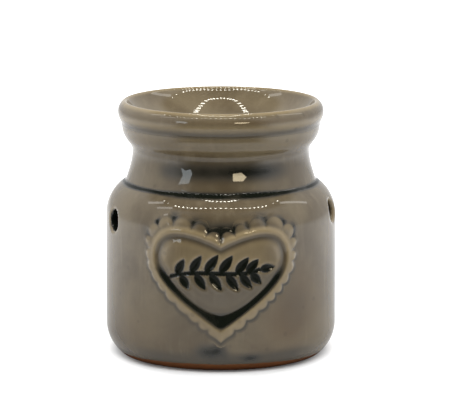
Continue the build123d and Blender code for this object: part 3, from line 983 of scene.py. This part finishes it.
def build_cup(finish):
    """Pressed foil cup: fluted wall, rolled rim and a ring pressed into its bottom."""
    rim_z, rim_r = CUP_RIM_Z - 0.2, CUP_R - 0.2
    section = np.vstack([
        [(0, FLOOR_Z + 0.25), (9.6, FLOOR_Z + 0.25), (10.2, FLOOR_Z)],
        arc((CUP_FOOT_R - 1.0, FLOOR_Z + 1.0), 1.0, -90, -3, 12),
        [(CUP_WALL_R, rim_z - 0.35)],
        arc((rim_r, rim_z), 0.2, -80, 110, 14),
        [(CUP_WALL_R - CUP_WALL + 0.15, CUP_RIM_Z - 0.05), (CUP_WALL_R - CUP_WALL, CUP_RIM_Z - 0.35)],
        arc((CUP_FOOT_R - CUP_WALL - 0.8, CUP_FLOOR_Z + 0.8), 0.8, -3, -90, 10),
        [(10.4, CUP_FLOOR_Z), (9.8, CUP_FLOOR_Z + 0.25), (0, CUP_FLOOR_Z + 0.25)],
    ])
    return turned_piece(
        "tealight_cup_fluted", section, finish, 300, 252,
        Flutes=36.0, Flute_Depth=0.00012, Flute_Foot=0.0068, Flute_Head=0.0198,
    )


def build_wax(finish):
    """Poured wax: creeping up the cup and the wick, with a pocket for the sustainer."""
    section = np.array([
        (6.7, 5.75), (17.2, 5.75), (17.75, 18.4), (17.76, 18.75), (17.3, 18.62), (15.5, 18.56), (8.0, 18.5),
        (3.0, 18.56), (1.7, 18.72), (1.1, 19.0), (1.0, 19.0), (1.0, 9.5), (1.6, 9.5), (1.7, 6.4),
        (6.7, 6.2), (6.7, 5.75),
    ])
    return turned_piece("tealight_wax_poured", section, finish, 260, 144)


def build_sustainer(finish):
    """Pressed tin foot that holds the wick upright."""
    low = CUP_FLOOR_Z + 0.25
    section = np.array([
        (1.0, low), (6.3, low), (6.5, low + 0.1), (6.5, low + 0.2), (6.35, low + 0.28), (2.4, low + 0.28),
        (1.75, low + 0.55), (1.45, low + 1.1), (1.35, 8.9), (1.3, 9.3), (1.15, 9.4), (1.0, 9.3), (1.0, low),
    ])
    return turned_piece("wick_sustainer_pressed", section, finish, 200, 96)


def braided_tree():
    """Cord plaited round a centre line: strands wind both ways and pass over and under each other."""
    sizes = [
        ("Line", GEOMETRY, None), ("Strands", WHOLE, 8), ("Steps", WHOLE, 160), ("Turns", FLOAT, 5.0),
        ("Cord Radius", FLOAT, 0.001), ("Strand Share", FLOAT, 0.36), ("Weave Share", FLOAT, 0.10),
        ("Finish", FINISH, None),
    ]
    tree, n, entry, o = new_group("braided_cord", sizes, [("Piece", GEOMETRY)], "GeometryNodeTree")
    i = entry.outputs
    line = n.add("GeometryNodeResampleCurve", {"Curve": i["Line"], "Count": i["Steps"]})
    amount = {"Geometry": line.outputs[0], "Amount": i["Strands"]}
    copies = n.add("GeometryNodeDuplicateElements", amount, domain="SPLINE")
    which = copies.outputs["Duplicate Index"]
    way = n.math("SUBTRACT", n.math("MULTIPLY", n.math("MODULO", which, 2.0), 2.0), 1.0)
    pair = n.math("FLOOR", n.math("DIVIDE", which, 2.0))
    start = n.math("MULTIPLY", n.math("DIVIDE", pair, n.math("DIVIDE", i["Strands"], 2.0)), 2 * math.pi)
    share = n.add("GeometryNodeSplineParameter").outputs["Factor"]
    run = n.math("MULTIPLY", n.math("MULTIPLY", share, i["Turns"]), 2 * math.pi)
    angle = n.math("ADD", start, n.math("MULTIPLY", run, way))
    thick = n.math("MULTIPLY", i["Cord Radius"], i["Strand Share"])
    dip = n.math("MULTIPLY", i["Cord Radius"], i["Weave Share"])
    ring = n.math("SUBTRACT", n.math("SUBTRACT", i["Cord Radius"], thick), dip)
    over = n.math("COSINE", n.math("MULTIPLY", n.math("MULTIPLY", run, i["Strands"]), 0.5))
    out = n.math("ADD", ring, n.math("MULTIPLY", n.math("MULTIPLY", over, way), dip))
    side = n.add("GeometryNodeInputNormal").outputs[0]
    ahead = n.add("GeometryNodeInputTangent").outputs[0]
    cross = n.add("ShaderNodeVectorMath", {0: ahead, 1: side}, operation="CROSS_PRODUCT").outputs[0]
    first = n.add("ShaderNodeVectorMath", {0: side}, operation="SCALE")
    n.put(first.inputs["Scale"], n.math("MULTIPLY", out, n.math("COSINE", angle)))
    second = n.add("ShaderNodeVectorMath", {0: cross}, operation="SCALE")
    n.put(second.inputs["Scale"], n.math("MULTIPLY", out, n.math("SINE", angle)))
    offset = n.add("ShaderNodeVectorMath", {0: first.outputs[0], 1: second.outputs[0]}, operation="ADD")
    wound = n.add("GeometryNodeSetPosition", {"Geometry": copies.outputs[0], "Offset": offset.outputs[0]})
    both = n.add("GeometryNodeJoinGeometry")
    for strand, radius in ((wound.outputs[0], thick), (line.outputs[0], ring)):
        profile = n.add("GeometryNodeCurvePrimitiveCircle", {"Resolution": 10, "Radius": radius})
        ends = {"Curve": strand, "Profile Curve": profile.outputs[0], "Fill Caps": True}
        tube = n.add("GeometryNodeCurveToMesh", ends)
        n.tree.links.new(tube.outputs[0], both.inputs[0])
    finish_piece(n, both, i, o)
    return tree


def build_wick(finish):
    """Braided wick: straight out of the wax, then leaning over."""
    bend_z = WAX_Z + WICK_STRAIGHT
    bend = arc((WICK_BEND_R, bend_z), WICK_BEND_R, 180, 180 - WICK_LEAN, 12)
    line = np.vstack([[(0, WICK_Z)], np.c_[np.zeros(8), np.linspace(WICK_Z + 1, bend_z - 0.3, 8)], bend])
    source = curve_object("wick_line", [np.c_[line[:, 0], np.zeros(len(line)), line[:, 1]] * MM])
    return made_by_tree("tealight_wick_braided", source, braided_tree(), Cord_Radius=WICK_R * MM, Finish=finish)


GLAZE = glaze_material()
ALUMINIUM = metal_material("rolled_aluminium", (0.80, 0.81, 0.82), 0.22, 0.10)
TINPLATE = metal_material("pressed_tinplate", (0.62, 0.61, 0.58), 0.30, 0.14)
# Maker and material of each piece, then its body, CAD node and slot
DRESSING = (
    (build_body, GLAZE, "burner", "burner_body", "glaze"),
    (build_dish, GLAZE, "burner", "oil_dish", "glaze"),
    (build_heart, GLAZE, "burner", "heart_plaque", "glaze"),
    (build_cup, ALUMINIUM, "tealight", "tealight_cup", "cup_aluminium"),
    (build_wax, wax_material(), "tealight", "tealight_wax", "wax"),
    (build_wick, cotton_material(), "tealight", "tealight_wick", "wick_cotton"),
    (build_sustainer, TINPLATE, "tealight", "wick_sustainer", "tinplate"),
)
for build, finish, body, node, slot in DRESSING:
    dress(build(finish), body, node)

# Camera, light and floor

CAMERA_AT, CAMERA_TO = (0.0, -1.0, 0.2309), (0.0, 0.0, 0.0413)
FOCAL_PX, CENTRE_PX, FRAME_PX = 3054.0, (220.8, 226.44), (450, 400)
SENSOR_WIDTH = 36.0

camera = link_object("camera", bpy.data.cameras.new("camera"))
camera.location = CAMERA_AT
camera.rotation_mode = "QUATERNION"
camera.rotation_quaternion = (Vector(CAMERA_TO) - Vector(CAMERA_AT)).to_track_quat("-Z", "Y")
camera.data.sensor_width = SENSOR_WIDTH
camera.data.lens = SENSOR_WIDTH * FOCAL_PX / FRAME_PX[0]
camera.data.shift_x = (FRAME_PX[0] / 2 - CENTRE_PX[0]) / FRAME_PX[0]
camera.data.shift_y = (CENTRE_PX[1] - FRAME_PX[1] / 2) / FRAME_PX[0]
camera.data.clip_start, camera.data.clip_end = 0.01, 20
bpy.context.scene.camera = camera
bpy.context.scene.view_settings.view_transform = "Standard"


FLOOR_GLOW, FLOOR_TONE, FLOOR_BOUNCE, FLOOR_SHEEN = 0.05, 0.50, 0.76, 0.50
TENT_LEVEL, LED_LEVEL = 1.16, 45.0


def build_floor():
    """White sweep that glows away from the burner; reflections see its front side dark."""
    mesh = bpy.data.meshes.new("floor")
    mesh.from_pydata([(-3, -3, 0), (3, -3, 0), (3, 3, 0), (-3, 3, 0)], [], [(0, 1, 2, 3)])
    floor = link_object("floor", mesh)
    material = bpy.data.materials.new("white_sweep")
    material.use_nodes = True
    n = Nodes(material.node_tree)
    n.tree.nodes.clear()
    paths = n.add("ShaderNodeLightPath").outputs
    where = n.add("ShaderNodeTexCoord").outputs["Object"]
    way = n.add("ShaderNodeSeparateXYZ", {0: where})
    away = n.add("ShaderNodeVectorMath", {0: where}, operation="LENGTH").outputs["Value"]
    facing = n.math("DIVIDE", way.outputs["Y"], n.math("MAXIMUM", away, 0.001))
    behind = n.span(facing, 0.35, 0.95, 1.0, 0.8)
    front = n.math("MAXIMUM", n.span(facing, -0.45, -0.85, 1.0, 0.05), n.span(away, 0.13, 0.19, 1.0, 0.05))
    mirrored = paths["Is Glossy Ray"]
    darker = n.math("SUBTRACT", n.math("MULTIPLY", front, behind), 1.0)
    shown = n.math("ADD", n.math("MULTIPLY", mirrored, darker), 1.0)
    seen = n.math("MAXIMUM", paths["Is Camera Ray"], mirrored)
    seen = n.math("MAXIMUM", seen, paths["Is Transmission Ray"])
    far = n.span(away, 0.07, 0.30, FLOOR_GLOW, 1.0)
    strength = n.math("MULTIPLY", n.math("MULTIPLY", seen, shown), far)
    squeezed = n.add("ShaderNodeVectorMath", {0: n.stretch(where, (1.45, 1.0, 1.0))}, operation="LENGTH")
    ring = n.span(squeezed.outputs["Value"], 0.042, 0.058, 0.0, 0.55)
    clean = n.math("MULTIPLY", paths["Is Camera Ray"], ring)
    strength = n.math("ADD", strength, clean)
    glow = n.add("ShaderNodeEmission", {"Color": grey(1.0), "Strength": strength})
    tone = n.mix(paths["Is Diffuse Ray"], grey(FLOOR_TONE), grey(FLOOR_BOUNCE))
    tone = n.mix(mirrored, tone, grey(FLOOR_SHEEN))
    paper = n.add("ShaderNodeBsdfDiffuse", {"Color": n.mix(shown, grey(0.0), tone)})
    both = n.add("ShaderNodeAddShader", {0: glow.outputs[0], 1: paper.outputs[0]})
    n.add("ShaderNodeOutputMaterial", {"Surface": both.outputs[0]})
    mesh.materials.append(material)


def build_world():
    """White tent at the sides and back, dim overhead and dark at the front."""
    world = bpy.data.worlds.new("tent")
    bpy.context.scene.world = world
    world.use_nodes = True
    n = Nodes(world.node_tree)
    n.tree.nodes.clear()
    way = n.add("ShaderNodeSeparateXYZ", {0: n.add("ShaderNodeTexCoord").outputs["Generated"]})
    front = n.span(way.outputs["Y"], -0.40, -0.85, 1.0, 0.04)
    back = n.span(way.outputs["Y"], 0.35, 0.95, 1.0, 0.75)
    top = n.span(way.outputs["Z"], 0.64, 0.78, 1.0, 0.22)
    level = n.math("MULTIPLY", n.math("MULTIPLY", front, back), n.math("MULTIPLY", top, TENT_LEVEL))
    paths = n.add("ShaderNodeLightPath")
    strength = n.math("MAXIMUM", level, paths.outputs["Is Camera Ray"])
    sky = n.add("ShaderNodeBackground", {"Color": grey(1.0), "Strength": strength})
    n.add("ShaderNodeOutputWorld", {"Surface": sky.outputs[0]})


def build_lamp(name, where, towards, size, power):
    """Soft panel that lights the clay without showing in the glaze."""
    lamp = bpy.data.lights.new(name, "AREA")
    lamp.shape, lamp.size, lamp.size_y, lamp.energy = "RECTANGLE", size[0], size[1], power
    obj = link_object(name, lamp)
    obj.location = where
    obj.rotation_mode = "QUATERNION"
    obj.rotation_quaternion = (Vector(towards) - Vector(where)).to_track_quat("-Z", "Y")
    obj.visible_glossy = False


# Half paths of the lamp runs (x, y), the gap between lamps, and half a lamp's width along the run and
# across it. A path that starts at x = 0 is one run.
LED_RUNS = (
    (((0, -0.250), (0.12, -0.246), (0.20, -0.225), (0.262, -0.175), (0.285, -0.135)), 0.030, 0.0062, 0.0085),
    (((0.300, -0.050), (0.296, 0.015)), 0.030, 0.0050, 0.0050),
    (((0, -0.080), (0.036, -0.072), (0.062, -0.048)), 0.0158, 0.0038, 0.0085),
    (((0.071, -0.022), (0.079, 0.035), (0.080, 0.107), (0.072, 0.228)), 0.040, 0.0055, 0.0085),
)
LED_HEIGHT = 0.45


def glowing(name, points, faces, colour, level):
    """Stage panel that only shows in the glaze."""
    mesh = bpy.data.meshes.new(name)
    mesh.from_pydata(points, [], faces)
    obj = link_object(name, mesh)
    obj.visible_diffuse = False
    material = bpy.data.materials.new(name)
    material.use_nodes = True
    n = Nodes(material.node_tree)
    n.tree.nodes.clear()
    light = n.add("ShaderNodeEmission", {"Color": colour, "Strength": level})
    n.add("ShaderNodeOutputMaterial", {"Surface": light.outputs[0]})
    mesh.materials.append(material)


def build_led_runs():
    """Runs of small lamps overhead, which the glaze shows as dotted lines."""
    points, faces = [], []
    for half, gap, along, across in LED_RUNS:
        half = np.array(half)
        mirrored = half * (-1, 1)
        paths = [np.vstack([mirrored[:0:-1], half])] if half[0, 0] == 0 else [half, mirrored]
        for path in paths:
            run = np.r_[0, np.cumsum(np.hypot(*np.diff(path, axis=0).T))]
            stops = np.linspace(0, run[-1], int(run[-1] / gap))
            spots = np.c_[np.interp(stops, run, path[:, 0]), np.interp(stops, run, path[:, 1])]
            ahead = np.gradient(spots, axis=0)
            ahead /= np.linalg.norm(ahead, axis=1)[:, None]
            for (x, y), (u, v) in zip(spots, ahead):
                faces.append([len(points) + c for c in (0, 3, 2, 1)])
                points += [
                    (x + a * along * u - b * across * v, y + a * along * v + b * across * u, LED_HEIGHT)
                    for a, b in ((-1, -1), (1, -1), (1, 1), (-1, 1))
                ]
    glowing("led_runs", points, faces, (1.0, 0.97, 0.86, 1), LED_LEVEL)


NECK_EYE_Z = 0.06


def build_window(name, corners, away, colour, level):
    """Pane in the room, its corners given as turn and rise seen from the burner's neck."""
    turn, rise = np.radians(corners).T
    way = np.c_[np.cos(rise) * np.sin(turn), -np.cos(rise) * np.cos(turn), np.sin(rise)]
    points = away * way + (0, 0, NECK_EYE_Z)
    glowing(name, points.tolist(), [tuple(range(len(points)))], colour, level)


CREAM_PANE = ((15.1, 12.1), (25.6, 10.3), (32.5, 16.0), (28.2, 20.1), (15.1, 20.6))
BLUE_PANE = (
    (-51.0, 3.2), (-44.9, 7.5), (-38.6, 4.9), (-36.0, 12.1), (-40.4, 21.0), (-54.2, 20.6), (-48.9, 14.1),
)
LEFT_BARS = (
    ((-101.6, 40.0), (-95.6, 37.1), (-83.4, 48.6), (-90.7, 51.7)),
    ((-80.7, 38.4), (-77.3, 35.1), (-61.0, 43.1), (-65.4, 47.6)),
)
RIGHT_BAR = ((92.1, 50.3), (85.1, 47.3), (108.5, 26.3), (112.4, 28.4))

BAR_WHITE, BAR_AWAY, BAR_LEVEL = (1.0, 0.99, 0.96, 1), 0.6, 3.8
# Name, corners, distance, colour and level of each pane
WINDOWS = (
    ("cream_pane", CREAM_PANE, 0.8, (1.0, 0.84, 0.56, 1), 12.0),
    ("blue_pane", BLUE_PANE, 0.8, (0.88, 0.96, 1.0, 1), 4.0),
    ("left_bar_far", LEFT_BARS[0], BAR_AWAY, BAR_WHITE, BAR_LEVEL),
    ("left_bar_near", LEFT_BARS[1], BAR_AWAY, BAR_WHITE, BAR_LEVEL),
    ("right_bar", RIGHT_BAR, BAR_AWAY, BAR_WHITE, BAR_LEVEL),
)

build_floor()
build_world()
build_lamp("roof_panel", (0.0, -0.14, 0.70), (0, 0, 0.04), (0.8, 0.35), 10.0)
build_led_runs()
for pane in WINDOWS:
    build_window(*pane)
